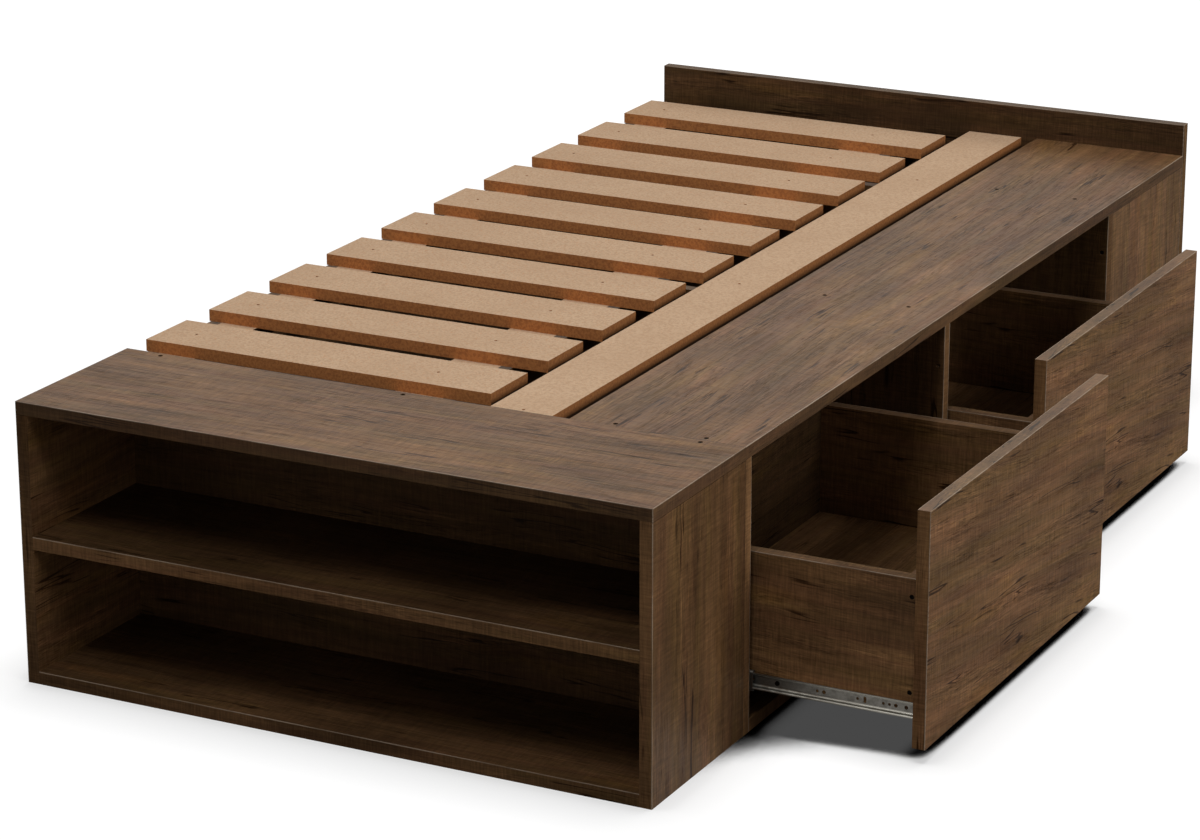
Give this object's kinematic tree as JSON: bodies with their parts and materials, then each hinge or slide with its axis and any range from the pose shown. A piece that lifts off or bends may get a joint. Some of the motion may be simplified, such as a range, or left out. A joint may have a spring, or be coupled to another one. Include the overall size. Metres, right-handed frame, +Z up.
{
  "type": "tatami platform bed",
  "caption": "Single platform bed with an open bookcase across the foot, a side cabinet of drawers on ball bearing slides, a deck of fibreboard slats and a low headboard.",
  "frame": {"origin": "centre of the bounding box's underside, on the floor, with the drawers standing open as in the picture", "axes": "+Y from the foot to the headboard, +X towards the drawers' open side, +Z up"},
  "size_m": [1.263, 2.074, 0.478],
  "materials": {
    "laminate": "matt dark oak melamine with a wood grain",
    "fibreboard": "raw sanded medium density fibreboard",
    "zinc_steel": "zinc plated rolled steel",
    "screw": "black phosphated"
  },
  "bodies": {
    "carcass": {"bookcase_top": "laminate", "bookcase_bottom": "laminate", "bookcase_left_side": "laminate", "bookcase_right_side": "laminate", "bookcase_shelf": "laminate", "bookcase_back": "laminate", "cabinet_foot_board": "laminate", "cabinet_divider": "laminate", "cabinet_head_board": "laminate", "cabinet_back_board": "laminate", "cabinet_bottom_1": "laminate", "cabinet_bottom_2": "laminate", "cabinet_top": "laminate", "cabinet_filler": "laminate", "left_side_board": "laminate", "headboard": "laminate", "left_cleat": "fibreboard", "cabinet_cleat": "fibreboard", "deck_plank": "fibreboard", "slat_01": "fibreboard", "slat_02": "fibreboard", "slat_03": "fibreboard", "slat_04": "fibreboard", "slat_05": "fibreboard", "slat_06": "fibreboard", "slat_07": "fibreboard", "slat_08": "fibreboard", "slat_09": "fibreboard", "slat_10": "fibreboard", "slat_screws": "screw", "deck_screws": "screw", "cabinet_screws": "screw", "drawer_1_foot_cabinet_rail": "zinc_steel", "drawer_1_head_cabinet_rail": "zinc_steel", "drawer_2_foot_cabinet_rail": "zinc_steel", "drawer_2_head_cabinet_rail": "zinc_steel"},
    "drawer_1_runners": {"drawer_1_foot_middle_rail": "zinc_steel", "drawer_1_head_middle_rail": "zinc_steel", "drawer_1_slide_balls": "zinc_steel"},
    "drawer_1": {"drawer_1_front": "laminate", "drawer_1_box_front": "laminate", "drawer_1_box_back": "laminate", "drawer_1_foot_side": "laminate", "drawer_1_head_side": "laminate", "drawer_1_bottom": "laminate", "drawer_1_screws": "screw", "drawer_1_foot_drawer_rail": "zinc_steel", "drawer_1_head_drawer_rail": "zinc_steel"},
    "drawer_2_runners": {"drawer_2_foot_middle_rail": "zinc_steel", "drawer_2_head_middle_rail": "zinc_steel", "drawer_2_slide_balls": "zinc_steel"},
    "drawer_2": {"drawer_2_front": "laminate", "drawer_2_box_front": "laminate", "drawer_2_box_back": "laminate", "drawer_2_foot_side": "laminate", "drawer_2_head_side": "laminate", "drawer_2_bottom": "laminate", "drawer_2_screws": "screw", "drawer_2_foot_drawer_rail": "zinc_steel", "drawer_2_head_drawer_rail": "zinc_steel"}
  },
  "joints": [
    {"name": "drawer_1_outer_stage", "type": "slide", "parent": "carcass", "child": "drawer_1_runners", "axis": [1, 0, 0], "range_m": [-0.038, 0.187]},
    {"name": "drawer_1_inner_stage", "type": "slide", "parent": "drawer_1_runners", "child": "drawer_1", "axis": [1, 0, 0], "range_m": [-0.225, 0]},
    {"name": "drawer_2_outer_stage", "type": "slide", "parent": "carcass", "child": "drawer_2_runners", "axis": [1, 0, 0], "range_m": [0, 0.225]},
    {"name": "drawer_2_inner_stage", "type": "slide", "parent": "drawer_2_runners", "child": "drawer_2", "axis": [1, 0, 0], "range_m": [-0.156, 0.069]}
  ]
}
